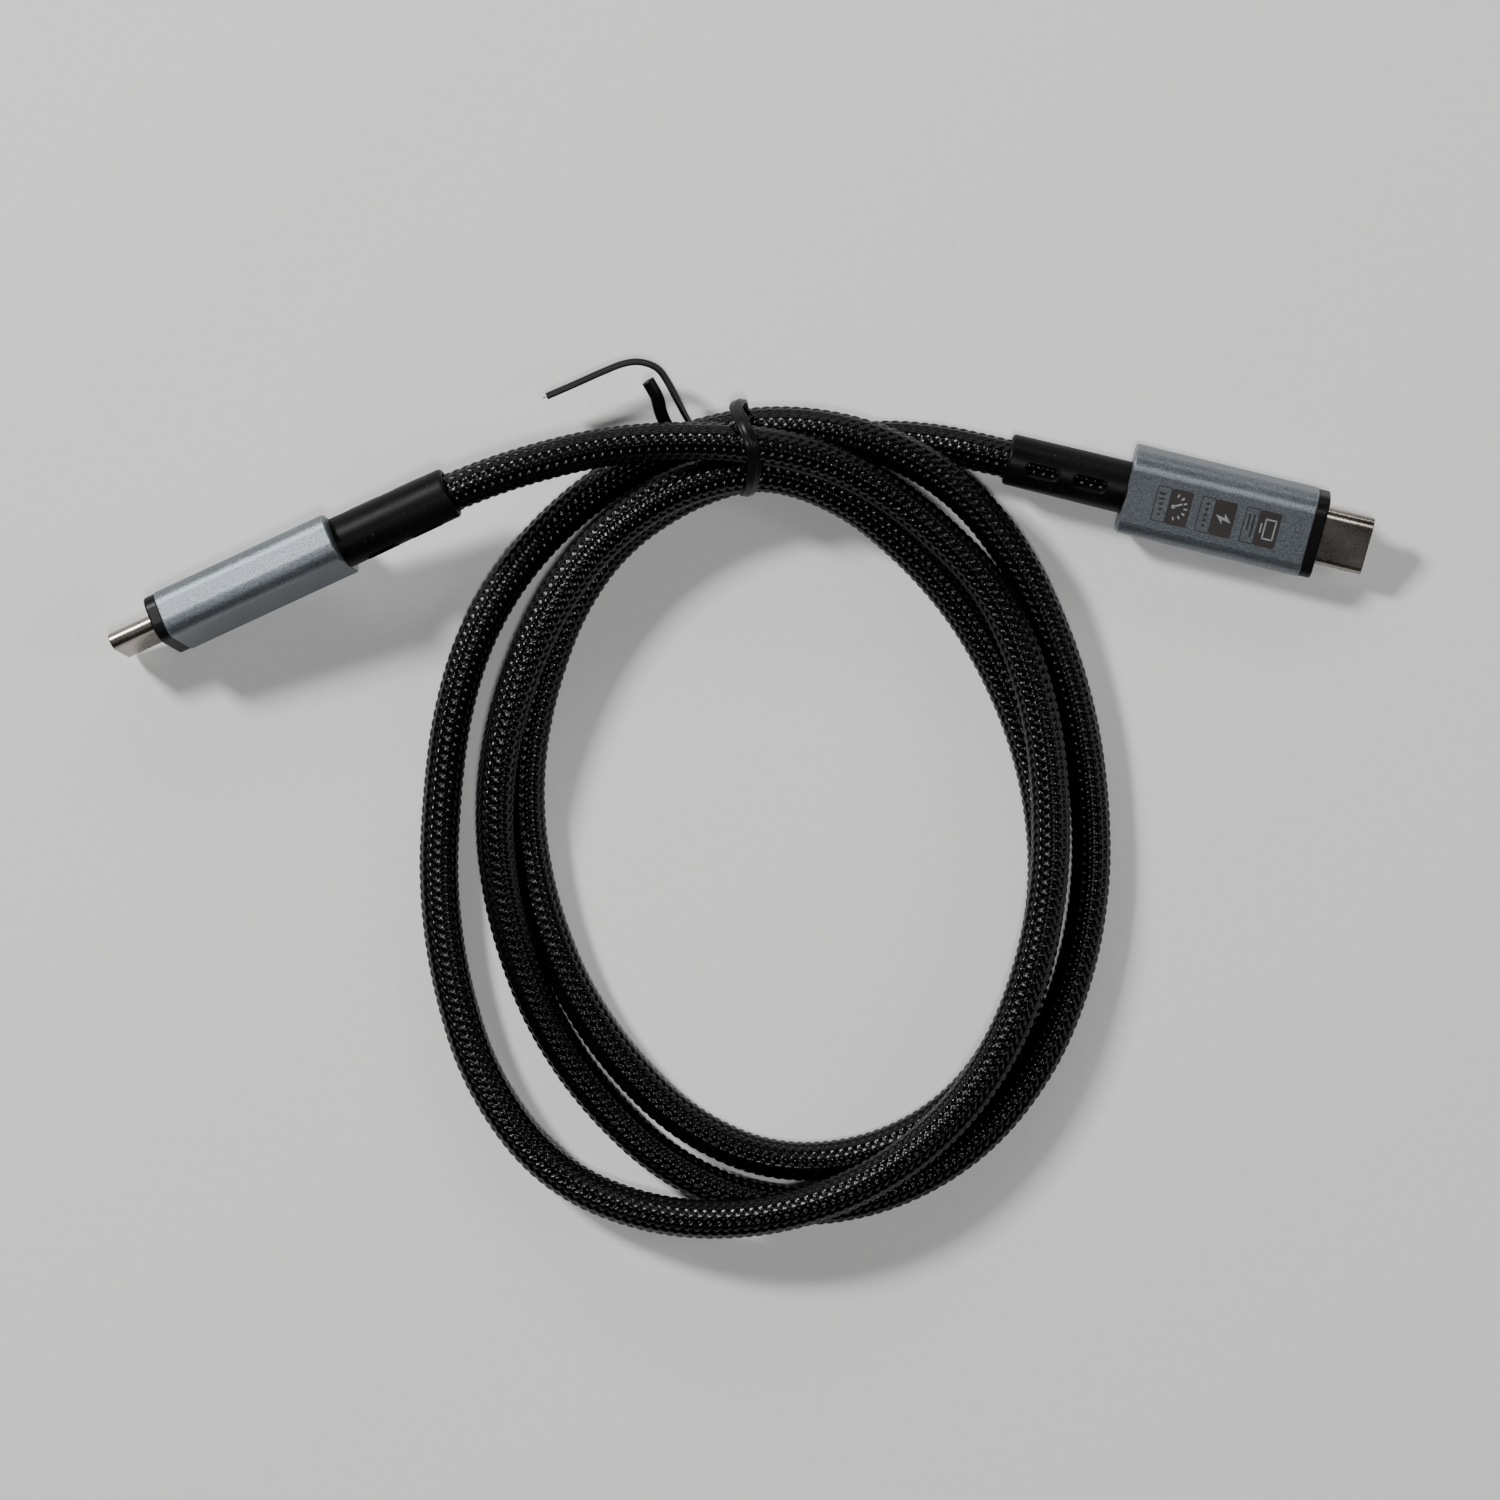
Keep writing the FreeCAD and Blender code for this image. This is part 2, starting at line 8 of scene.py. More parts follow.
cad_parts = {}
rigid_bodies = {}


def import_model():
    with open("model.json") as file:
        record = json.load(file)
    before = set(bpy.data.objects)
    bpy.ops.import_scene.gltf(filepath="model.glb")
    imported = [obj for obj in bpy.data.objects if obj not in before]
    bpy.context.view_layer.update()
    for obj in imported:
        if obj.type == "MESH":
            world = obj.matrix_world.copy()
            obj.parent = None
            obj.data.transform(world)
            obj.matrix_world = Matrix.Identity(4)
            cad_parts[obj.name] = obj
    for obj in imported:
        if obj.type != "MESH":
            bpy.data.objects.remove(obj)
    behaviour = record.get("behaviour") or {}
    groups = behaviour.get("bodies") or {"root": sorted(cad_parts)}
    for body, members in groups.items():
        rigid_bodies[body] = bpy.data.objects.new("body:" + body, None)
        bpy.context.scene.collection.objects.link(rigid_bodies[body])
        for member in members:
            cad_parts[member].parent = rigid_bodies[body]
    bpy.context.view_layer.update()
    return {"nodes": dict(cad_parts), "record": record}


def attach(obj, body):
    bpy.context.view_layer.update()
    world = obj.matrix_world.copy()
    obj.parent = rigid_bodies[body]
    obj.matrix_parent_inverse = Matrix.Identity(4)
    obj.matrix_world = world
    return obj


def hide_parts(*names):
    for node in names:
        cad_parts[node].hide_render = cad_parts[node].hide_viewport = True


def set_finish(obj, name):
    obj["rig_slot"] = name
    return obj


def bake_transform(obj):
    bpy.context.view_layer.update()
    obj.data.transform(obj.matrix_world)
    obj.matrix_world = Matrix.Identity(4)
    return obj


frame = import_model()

MM = 0.001

# ---------------------------------------------------------------- camera

# It looks straight down, as in the photograph.
CAMERA_HEIGHT = 0.8
camera_data = bpy.data.cameras.new("camera")
camera_data.sensor_width = 36
camera_data.lens = 138.8
camera_data.clip_start = 0.01
camera = bpy.data.objects.new("camera", camera_data)
camera.location = (0.00103, -0.0281, CAMERA_HEIGHT)
bpy.context.scene.collection.objects.link(camera)
bpy.context.scene.camera = camera

# ------------------------------------------------- where the connectors lie

LEFT = {"at": (-54.87, 0.19, 9.75), "heading": 204.4, "pitch": 7.5, "roll": -76.5}
RIGHT = {"at": (52.73, 7.99, 4.746), "heading": -13.7, "pitch": 0.0, "roll": 20.0}
BOOT_LENGTH = 16.8
# How far behind the housing the cable starts inside the boot, and where it begins to bend
LEAD_START = -9.1
LEAD_STRAIGHT = -18.5


def placement(connector):
    """The connector's own frame: +X toward its plug, 0 at the back of its housing, in metres."""
    turn = Matrix.Rotation(math.radians(connector["heading"]), 4, "Z")
    turn = turn @ Matrix.Rotation(math.radians(connector["pitch"]), 4, "Y")
    turn = turn @ Matrix.Rotation(math.radians(connector["roll"]), 4, "X")
    return Matrix.Translation(Vector(connector["at"]) * MM) @ turn


def on_axis(connector, x):
    """The point at x mm on the connector's axis, in mm."""
    return tuple(placement(connector) @ Vector((x * MM, 0, 0)) / MM)


# ------------------------------------------------------------ mesh helpers


def add_mesh(name, points, faces, smooth=True):
    mesh = bpy.data.meshes.new(name)
    mesh.from_pydata(np.asarray(points).tolist(), [], faces)
    mesh.validate()
    if smooth:
        mesh.shade_smooth()
    obj = bpy.data.objects.new(name, mesh)
    bpy.context.scene.collection.objects.link(obj)
    return obj


def tube_faces(rows, around, closed=False):
    """Faces of a grid of rings. An open one ends in a fan at each of two extra points."""
    faces = []
    for i in range(rows if closed else rows - 1):
        a = i * around
        b = ((i + 1) % rows) * around
        for j in range(around):
            k = (j + 1) % around
            faces.append((a + j, a + k, b + k, b + j))
    if not closed:
        first = rows * around
        last = (rows - 1) * around
        for j in range(around):
            k = (j + 1) % around
            faces.append((first, k, j))
            faces.append((first + 1, last + j, last + k))
    return faces


def ring_mesh(name, rings, closed=False):
    """A closed surface through rings of points, as an array of rings, points and 3."""
    rows, around = rings.shape[:2]
    points = rings.reshape(-1, 3)
    if not closed:
        points = np.vstack([points, rings[0].mean(0), rings[-1].mean(0)])
    return add_mesh(name, points, tube_faces(rows, around, closed))


def unit(v):
    return v / np.linalg.norm(v, axis=-1, keepdims=True)


def catmull_rom(p0, p1, p2, p3, t):
    """The point at t, from 0 to 1, between the second and third of four points."""
    return 0.5 * (2 * p1 + (p2 - p0) * t + (2 * p0 - 5 * p1 + 4 * p2 - p3) * t * t
                  + (3 * p1 - p0 - 3 * p2 + p3) * t ** 3)


def smooth_line(points, per, closed=False):
    """A Catmull-Rom line through the points, with per steps between two of them."""
    p = np.array(points, float)
    n = len(p)
    out = []
    for i in range(n if closed else n - 1):
        if closed:
            p0, p1, p2, p3 = (p[(i + k) % n] for k in (-1, 0, 1, 2))
        else:
            p0, p1, p2, p3 = p[max(i - 1, 0)], p[i], p[i + 1], p[min(i + 2, n - 1)]
        out += [catmull_rom(p0, p1, p2, p3, k / per) for k in range(per)]
    if not closed:
        out.append(p[-1])
    return np.array(out)


# --------------------------------------------------------------- the route

# The cable's centreline in mm: the left lead, three turns clockwise seen from above, and the
# right lead. A turn's radius and height are given every 30 degrees, clockwise from +Y.
COIL_CENTRE = (3.48, -34.89)
TURN_RADII = (
    (48.8, 44.8, 40.4, 38.8, 42.6, 50.8, 57.5, 59.7, 50.6, 45.0, 46.4, 49.0),
    (51.8, 50.6, 45.4, 44.5, 49.0, 55.8, 56.6, 47.6, 40.3, 37.6, 38.4, 42.8),
    (45.5, 39.7, 36.6, 37.9, 43.1, 50.4, 50.2, 41.3, 35.2, 33.6, 35.6, 41.7),
)
LAST_RADIUS = 45.5
ON_FLOOR = 2.65
TURN_HEIGHTS = (
    (12.0, 8.5, 7.9, 7.9, 8.0, 8.0, 8.1, 4.6, 2.65, 2.65, 2.65, 2.65),
    (7.4, 8.0, 4.0, 2.65, 2.65, 2.65, 2.65, 2.65, 4.6, 6.6, 7.6, 8.0),
    (8.0, 3.9, 2.65, 2.65, 2.65, 2.65, 2.65, 2.65, 2.65, 2.65, 2.65, 2.65),
)
STATION = 30
COIL_FROM, COIL_TO, COIL_STEP = 45, 1065, 15
LEFT_LEAD = (
    on_axis(LEFT, LEAD_START), on_axis(LEFT, LEAD_STRAIGHT), (-28.3, 11.1, 12.0), (-18.6, 13.4, 11.3),
    (-9.0, 14.1, 11.4), (0.3, 13.7, 12.0), (9.4, 12.2, 11.2), (17.8, 8.6, 9.4), (25.2, 3.2, 8.4),
)
RIGHT_LEAD = (
    on_axis(RIGHT, LEAD_START), on_axis(RIGHT, LEAD_STRAIGHT), (26.0, 14.4, 3.4), (17.4, 14.8, 2.75),
    (9.0, 12.9, 2.65), (1.2, 10.5, 2.65),
)


def between_stations(values, angle):
    """The value at an angle, on a Catmull-Rom curve through those at the stations."""
    u = angle / STATION
    i = min(int(u), len(values) - 2)
    near = (values[min(max(i + k, 0), len(values) - 1)] for k in (-1, 0, 1, 2))
    return catmull_rom(*near, u - i)


def coil_points():
    radii = [r for turn in TURN_RADII for r in turn] + [LAST_RADIUS]
    heights = [z for turn in TURN_HEIGHTS for z in turn] + [ON_FLOOR]
    points = []
    for angle in range(COIL_FROM, COIL_TO + 1, COIL_STEP):
        r = between_stations(radii, angle)
        z = max(between_stations(heights, angle), ON_FLOOR)
        a = math.radians(angle)
        points.append((COIL_CENTRE[0] + r * math.sin(a), COIL_CENTRE[1] + r * math.cos(a), z))
    return points


def spline_line(name, points):
    """The points in metres that a NURBS spline with these control points runs through."""
    curve = bpy.data.curves.new(name, "CURVE")
    curve.dimensions = "3D"
    spline = curve.splines.new("NURBS")
    spline.points.add(len(points) - 1)
    for knot, at in zip(spline.points, points):
        knot.co = (at[0] * MM, at[1] * MM, at[2] * MM, 1)
    spline.order_u = 3
    spline.use_endpoint_u = True
    spline.resolution_u = 24
    holder = bpy.data.objects.new(name, curve)
    bpy.context.scene.collection.objects.link(holder)
    bpy.context.view_layer.update()
    mesh = bpy.data.meshes.new_from_object(holder)
    line = np.array([v.co for v in mesh.vertices], float)
    bpy.data.objects.remove(holder)
    bpy.data.curves.remove(curve)
    bpy.data.meshes.remove(mesh)
    return line


def line_length(line):
    return float(np.linalg.norm(np.diff(line, axis=0), axis=1).sum())


def even(line, step):
    """The line again, with points about step apart."""
    along = np.concatenate([[0], np.cumsum(np.linalg.norm(np.diff(line, axis=0), axis=1))])
    at = np.linspace(0, along[-1], max(int(along[-1] / step), 2) + 1)
    return np.stack([np.interp(at, along, line[:, k]) for k in range(3)], -1)


# --------------------------------------------------------------- the braid

# The sleeve is one tube whose surface rises and falls with its yarns.
CABLE_DIAMETER = 5.3 * MM
CARRIERS = 12  # yarns each way
FLOAT_PITCH = 1.3 * MM  # along the cable, between two yarns that run the same way
BRAID_AROUND = 96
RINGS_PER_FLOAT = 6
RING_OFFSET = 0.25  # of a ring's step, to keep the points off the yarns' edges
BRAID_DEPTH = 0.3 * MM  # from a float's top to the gaps beside it
BRAID_PROUD = 0.06 * MM  # how far a float's top stands outside the cable's radius
YARN_FLATNESS, YARN_EDGE = 3.4, 0.55  # a yarn's section: flat on top, steep at its edges
FLOAT_ROUNDNESS = 0.95
FLOAT_END = 0.15  # the height at which a yarn dives, as a share of its highest
UNEVENNESS = 0.02


def braid(name, line, radius):
    """A tube in a sleeve of flat yarns, each over two and under two of those that run the other way."""
    ring_step = FLOAT_PITCH / RINGS_PER_FLOAT
    line = even(line, ring_step)
    step = line_length(line) / (len(line) - 1)
    forward = unit(np.gradient(line, axis=0))
    side = unit(np.cross(forward, (0, 0, 1)))
    up = np.cross(side, forward)
    turn = (np.arange(BRAID_AROUND) + 0.5) / BRAID_AROUND
    lead = CARRIERS * FLOAT_PITCH
    along = (np.arange(len(line)) * step + RING_OFFSET * ring_step)[:, None] / lead
    a = CARRIERS * (turn[None, :] + along)
    b = CARRIERS * (turn[None, :] - along)
    row_a, row_b = np.floor(a), np.floor(b)
    cell = (row_a + row_b) % 4
    a_on_top = cell < 2
    across = np.where(a_on_top, a - row_a, b - row_b)
    length = np.where(a_on_top, (cell + b - row_b) / 2, (cell - 2 + a - row_a) / 2)
    yarn = np.where(a_on_top, row_a, row_b + 0.5)
    # A value for each float, from -1 to 1, that looks random and stays the same each run
    uneven = np.sin(yarn * 12.9898 + np.where(a_on_top, row_b, row_a) * 78.233)
    crown = (1 - np.abs(2 * across - 1) ** YARN_FLATNESS) ** YARN_EDGE
    bulge = np.sin(math.pi * np.clip(length, 0, 1)) ** FLOAT_ROUNDNESS
    height = crown * (FLOAT_END + (1 - FLOAT_END) * bulge)
    r = radius - BRAID_DEPTH * (1 - height * (1 + UNEVENNESS * uneven))
    angle = turn * 2 * math.pi
    cos, sin = np.cos(angle)[None, :, None], np.sin(angle)[None, :, None]
    rings = line[:, None, :] + r[:, :, None] * (cos * side[:, None, :] + sin * up[:, None, :])
    obj = ring_mesh(name, rings)
    for label, values in (("across", across), ("height", height), ("yarn", yarn)):
        layer = obj.data.attributes.new(label, "FLOAT", "POINT")
        layer.data.foreach_set("value", np.append(values.ravel(), [0, 0]).astype(np.float32))
    return obj


route = spline_line("cable_route", LEFT_LEAD + tuple(coil_points()) + RIGHT_LEAD[::-1])
cable = braid("braided_cable", route, CABLE_DIAMETER / 2 + BRAID_PROUD)
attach(cable, "root")
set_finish(cable, "cable_braid")
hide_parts("cable_coil", "cable_left_lead", "cable_right_lead")

# --------------------------------------------------------------- the boots

BOOT_RADIUS = (3.55, 3.65)
BOOT_LIP = 0.5
BORE_RADIUS = 2.72
# How much wider than the bore, and how far inside the boot's end
BORE_MOUTH = ((0, 1.6), (0, 0.25), (0.06, 0.06), (0.18, 0))
SLOTS_AT = (-11.8, -5.1)
SLOT_LENGTH, SLOT_WIDTH = 4.5, 1.7
SLOT_FLOOR = 2.15  # from the boot's axis
SLOT_WALL = (-0.12, 0.10)  # a wall rises between these distances from a slot's outline
SLOT_SIDES = 0.7  # the slots lie where the sine of the angle round the boot is past this, up or down
SLOT_LIP, SLOT_LIP_AT, SLOT_LIP_WIDTH = 0.05, 0.16, 0.10  # a slight swelling outside the outline
SLOT_REACH = 0.9  # how far past a slot's edge its lip is worked out
BOOT_TWIST = {"left": 0, "right": -5}  # degrees, against its connector
BOOT_STEP = 0.1
BOOT_AROUND = 168
CORE_LINE = (-7.9, -4.0, 1.0, 6.9)  # on the connector's axis
CORE_RADIUS = 2.5


def step_between(low, high, v):
    t = np.clip((v - low) / (high - low), 0, 1)
    return t * t * (3 - 2 * t)


def boot_rings():
    """The boot's surface in the connector's frame in mm: its bore's mouth, its end and its outside."""
    x = np.arange(-BOOT_LENGTH, 0.001, BOOT_STEP)
    outer = np.interp(x, (-BOOT_LENGTH, 0), BOOT_RADIUS)
    into = np.clip(1 - (x + BOOT_LENGTH) / BOOT_LIP, 0, 1)
    outer = outer - BOOT_LIP * (1 - np.sqrt(1 - into ** 2))
    angle = np.arange(BOOT_AROUND) / BOOT_AROUND * 2 * math.pi
    radius = np.repeat(outer[:, None], BOOT_AROUND, 1)
    y = radius * np.cos(angle)[None, :]
    for centre in SLOTS_AT:
        straight = (SLOT_LENGTH - SLOT_WIDTH) / 2
        dx = np.maximum(np.abs(x[:, None] - centre) - straight, 0)
        edge = np.sqrt(dx ** 2 + y ** 2) - SLOT_WIDTH / 2
        lip = SLOT_LIP * np.exp(-((edge - SLOT_LIP_AT) / SLOT_LIP_WIDTH) ** 2)
        facing = np.abs(np.sin(angle))[None, :] > SLOT_SIDES
        wall = step_between(*SLOT_WALL, edge)
        cut = SLOT_FLOOR + (radius + lip - SLOT_FLOOR) * wall
        radius = np.where(facing & (edge < SLOT_REACH), cut, radius)
    spoke = np.stack([np.zeros_like(angle), np.cos(angle), np.sin(angle)], -1)
    rings = radius[:, :, None] * spoke[None]
    rings[:, :, 0] += x[:, None]
    mouth = []
    for wider, inside in BORE_MOUTH:
        bore = (BORE_RADIUS + wider) * spoke
        bore[:, 0] += inside - BOOT_LENGTH
        mouth.append(bore)
    return np.concatenate([np.array(mouth), rings])


def placed(rings, matrix):
    """Rings in a connector's frame and mm, in the row frame and metres."""
    m = np.array(matrix)
    return rings * MM @ m[:3, :3].T + m[:3, 3]


for side, connector in (("left", LEFT), ("right", RIGHT)):
    at = placement(connector)
    twisted = at @ Matrix.Rotation(math.radians(BOOT_TWIST[side]), 4, "X")
    boot = ring_mesh(f"{side}_boot_sleeve", placed(boot_rings(), twisted))
    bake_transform(boot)
    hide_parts(f"{side}_boot")
    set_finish(boot, "boot_rubber")
    core_line = np.array([tuple(at @ Vector((x * MM, 0, 0))) for x in CORE_LINE])
    core = braid(f"{side}_core_sleeve", core_line, CORE_RADIUS * MM)
    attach(core, f"{side}_connector")
    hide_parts(f"{side}_cable_core")
    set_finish(core, "cable_braid")

# ----------------------------------------------------------- the twist tie

TIE_WIDTH, TIE_THICKNESS = 1.8, 0.58
TIE_AROUND = 40
TIE_SQUARENESS = (0.8, 2 / 7)  # across and out: a smaller power makes a squarer section
WIRE_RADIUS = 0.14
WIRE_AROUND = 10
RIDGE_HEIGHT, RIDGE_WIDTH = 0.165, 0.3  # where the wire lifts the ribbon
TAIL_LEAN = 0.42  # how much a tail's flat side faces up, against sideways
TWIST_SIZE = 0.62  # the twisted strands are pressed smaller than the ribbon
TWIST_OFFSET = 0.42  # of each strand from the twist's middle


def sweep(name, line, out, section, closed=False):
    """A strip in mm whose section, across and out, is carried along the line."""
    line, out = np.array(line, float), np.array(out, float)
    if closed:
        forward = unit(np.roll(line, -1, 0) - np.roll(line, 1, 0))
    else:
        forward = unit(np.gradient(line, axis=0))
    out = unit(out - forward * (out * forward).sum(1, keepdims=True))
    width = np.cross(forward, out)
    across, off = section[None, :, 0, None], section[None, :, 1, None]
    rings = line[:, None, :] + width[:, None, :] * across + out[:, None, :] * off
    return ring_mesh(name, rings * MM, closed)


def tie_section():
    """A flat ribbon with round edges, and a ridge where the wire runs inside it."""
    a = np.arange(TIE_AROUND) / TIE_AROUND * 2 * math.pi
    across = TIE_WIDTH / 2 * np.sign(np.cos(a)) * np.abs(np.cos(a)) ** TIE_SQUARENESS[0]
    off = TIE_THICKNESS / 2 * np.sign(np.sin(a)) * np.abs(np.sin(a)) ** TIE_SQUARENESS[1]
    ridge = RIDGE_HEIGHT * np.exp(-((across / RIDGE_WIDTH) ** 2))
    return np.stack([across, off + np.sign(off) * ridge], -1)


def on_edge(line):
    """The way that a strip faces when it stands on its edge and leans back a little."""
    run = np.gradient(line, axis=0)
    return np.stack([run[:, 1], -run[:, 0], np.hypot(run[:, 0], run[:, 1]) * TAIL_LEAN], -1)


def wire_section():
    a = np.arange(WIRE_AROUND) / WIRE_AROUND * 2 * math.pi
    return WIRE_RADIUS * np.stack([np.cos(a), np.sin(a)], -1)


# Each tie line has its points in mm, and the way its flat side faces there.
RING = (
    (-0.3, 19.6, 8.4), (-0.9, 18.5, 11.6), (0.2, 16.1, 14.5), (1.3, 13.2, 15.0), (1.6, 10.4, 13.1),
    (1.3, 8.0, 10.5), (0.8, 7.2, 7.6), (0.5, 7.2, 4.2), (0.3, 8.2, 1.2), (0.3, 10.5, 0.28),
    (0.3, 13.2, 0.8), (0.2, 16.0, 2.3), (0.0, 18.6, 4.8),
)
RING_CENTRE = (0.4, 13.0, 7.4)
LONG_TAIL = (
    (-6.5, 16.0, 1.2), (-7.2, 16.9, 2.3), (-7.9, 18.0, 4.1), (-8.9, 19.9, 5.6), (-10.3, 22.5, 6.1),
    (-11.7, 24.3, 6.1), (-13.9, 25.15, 6.1), (-16.3, 24.95, 6.1), (-19.4, 23.75, 6.1),
    (-23.2, 22.05, 6.1), (-26.9, 20.45, 6.1),
)
BARE_END = (-27.35, 20.26, 6.1)  # the wire's tip, past the end of the long tail's plastic
SHORT_TAIL = (
    (-6.6, 15.7, 1.1), (-8.8, 15.8, 1.2), (-10.3, 16.5, 2.6), (-11.2, 18.2, 5.2), (-11.75, 20.3, 7.2),
    (-12.95, 22.4, 8.5),
)
SHORT_TAIL_FACES = (0.2, -0.1, 1.0)
TWIST_LINE = ((-0.4, 15.5, 1.0), (-3.6, 15.8, 1.1), (-6.5, 15.9, 1.2))
TWIST_TURNS = 2.0

ring = smooth_line(RING, 10, closed=True)
ring_out = ring - np.array(RING_CENTRE)
tie_parts = [sweep("tie_ring", ring, ring_out, tie_section(), closed=True)]
long_tail = smooth_line(LONG_TAIL, 10)
tie_parts.append(sweep("tie_long_tail", long_tail, on_edge(long_tail), tie_section()))
short_tail = smooth_line(SHORT_TAIL, 12)
short_out = np.tile(SHORT_TAIL_FACES, (len(short_tail), 1))
tie_parts.append(sweep("tie_short_tail", short_tail, short_out, tie_section()))
twist = smooth_line(TWIST_LINE, 24)
for number, start in enumerate((0, math.pi)):
    spin = np.linspace(0, TWIST_TURNS * 2 * math.pi, len(twist)) + start
    off = np.stack([np.zeros(len(spin)), np.cos(spin), np.sin(spin)], -1)
    strand = twist + TWIST_OFFSET * off
    tie_parts.append(sweep(f"tie_twist_{number + 1}", strand, off, tie_section() * TWIST_SIZE))
bared = np.vstack([long_tail, BARE_END])
wire_lines = ((ring, ring_out, True), (bared, on_edge(bared), False), (short_tail, short_out, False))
wires = [sweep(f"tie_wire_{k + 1}", line, out, wire_section(), shut)
         for k, (line, out, shut) in enumerate(wire_lines)]
for part in tie_parts:
    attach(part, "root")
    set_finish(part, "tie_plastic")
for part in wires:
    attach(part, "root")
    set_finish(part, "spring_steel")
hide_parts("tie_ribbon")
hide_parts("tie_wire")

# ---------------------------------------------------------------- materials


class Nodes:
    """A material's node tree, with short calls for the nodes that are used again."""

    def __init__(self, name):
        self.material = bpy.data.materials.new(name)
        self.material.use_nodes = True
        self.tree = self.material.node_tree
        self.shader = self.tree.nodes["Principled BSDF"]
        self.place = self.add("ShaderNodeTexCoord").outputs["Object"]

    def add(self, kind, **values):
        node = self.tree.nodes.new(kind)
        for key, value in values.items():
            setattr(node, key, value)
        return node

    def link(self, a, b):
        self.tree.links.new(a, b)

    def feed(self, socket, value):
        """Sets a socket to a number, or links it to another node's socket."""
        if isinstance(value, bpy.types.NodeSocket):
            self.link(value, socket)
        else:
            socket.default_value = value

    def attribute(self, name):
        return self.add("ShaderNodeAttribute", attribute_name=name).outputs["Fac"]

    def noise(self, scale, detail=2.0, rough=0.5, stretch=None):
        node = self.add("ShaderNodeTexNoise")
        where = self.place
        if stretch:
            mapping = self.add("ShaderNodeMapping")
            mapping.inputs["Scale"].default_value = stretch
            self.link(where, mapping.inputs["Vector"])
            where = mapping.outputs["Vector"]
        self.link(where, node.inputs["Vector"])
        node.inputs["Scale"].default_value = scale
        node.inputs["Detail"].default_value = detail
        node.inputs["Roughness"].default_value = rough
        return node.outputs["Fac"]

    def math(self, operation, a, b=0.0):
        node = self.add("ShaderNodeMath", operation=operation)
        self.feed(node.inputs[0], a)
        self.feed(node.inputs[1], b)
        return node.outputs[0]

    def spread(self, value, low, high, to_low, to_high):
        node = self.add("ShaderNodeMapRange")
        self.feed(node.inputs["Value"], value)
        ends = {"From Min": low, "From Max": high, "To Min": to_low, "To Max": to_high}
        for key, number in ends.items():
            node.inputs[key].default_value = number
        return node.outputs["Result"]

    def mix(self, factor, a, b):
        node = self.add("ShaderNodeMix", data_type="RGBA")
        self.feed(node.inputs["Factor"], factor)
        # A Mix node's inputs 6 and 7 and output 2 are its colour sockets
        for socket, colour in ((node.inputs[6], a), (node.inputs[7], b)):
            if isinstance(colour, bpy.types.NodeSocket):
                self.link(colour, socket)
            else:
                socket.default_value = (*colour, 1)
        return node.outputs[2]

    def bump(self, height, distance, strength=1.0, under=None):
        node = self.add("ShaderNodeBump")
        node.inputs["Strength"].default_value = strength
        node.inputs["Distance"].default_value = distance
        self.link(height, node.inputs["Height"])
        if under:
            self.link(under, node.inputs["Normal"])
        return node.outputs["Normal"]

    def rounded_edge(self, radius):
        """The normal, as if sharp edges were rounded by this radius."""
        node = self.add("ShaderNodeBevel", samples=4)
        node.inputs["Radius"].default_value = radius
        return node.outputs["Normal"]

    def edge_mask(self, rounded_normal, low, high):
        """1 along the edges that rounded_edge finds, and 0 on flat faces."""
        dot = self.add("ShaderNodeVectorMath", operation="DOT_PRODUCT")
        self.link(rounded_normal, dot.inputs[0])
        self.link(self.add("ShaderNodeNewGeometry").outputs["Normal"], dot.inputs[1])
        return self.spread(self.math("SUBTRACT", 1.0, dot.outputs["Value"]), low, high, 0, 1)

    def finish(self, colour, roughness, normal, **fixed):
        self.link(colour, self.shader.inputs["Base Color"])
        self.feed(self.shader.inputs["Roughness"], roughness)
        self.link(normal, self.shader.inputs["Normal"])
        for key, value in fixed.items():
            self.shader.inputs[key.replace("_", " ")].default_value = value
        return self.material


def surface(name, dark, light, roughness, grain, depth, metal=0.0, stretch=None, worn=None, **fixed):
    """A finish whose colour and gloss drift in soft patches over a fine grain."""
    n = Nodes(name)
    patches = n.noise(140, 3)
    fine = n.noise(grain, 3, 0.6, stretch)
    blend = n.math("ADD", n.math("MULTIPLY", patches, 0.6), n.math("MULTIPLY", fine, 0.4))
    colour = n.mix(n.spread(blend, 0.32, 0.68, 0, 1), dark, light)
    gloss = n.spread(blend, 0.3, 0.7, roughness[0], roughness[1])
    round_edge = n.rounded_edge(0.08 * MM)
    if worn:
        colour = n.mix(n.edge_mask(round_edge, 0.02, 0.12), colour, worn)
    return n.finish(colour, gloss, n.bump(fine, depth, 1.0, round_edge), Metallic=metal, **fixed)


def braid_material():
    """Black nylon yarns: fine filaments along each float, with painted shade that darkens a float where
    it dives under the next.
    """
    n = Nodes("braided_nylon")
    across, height, yarn = (n.attribute(label) for label in ("across", "height", "yarn"))
    wander = n.noise(900, 2)
    lines = n.math("ADD", n.math("MULTIPLY", across, 44.0), n.math("MULTIPLY", wander, 5.0))
    filaments = n.math("SINE", lines)
    each = n.math("SINE", n.math("MULTIPLY", yarn, 7.31))
    patches = n.noise(60, 3)
    # Painted shade: the colour darkens where a float is low, in the gaps between yarns; the patches and
    # the per-yarn term add random tone.
    gap_shade_and_tone = n.math("ADD", n.math("MULTIPLY", height, 0.75), n.math("MULTIPLY", patches, 0.5))
    gap_shade_and_tone = n.math("ADD", gap_shade_and_tone, n.math("MULTIPLY", each, 0.05))
    colour = n.mix(n.spread(gap_shade_and_tone, 0.2, 1.15, 0, 1), (0.0004, 0.0004, 0.0005), (0.002, 0.002, 0.0024))
    gloss = n.spread(n.math("ADD", patches, n.math("MULTIPLY", filaments, 0.08)), 0.3, 0.75, 0.17, 0.25)
    normal = n.bump(filaments, 0.0016 * MM, 1.0)
    return n.finish(colour, gloss, normal, **{"Specular_IOR_Level": 0.2})


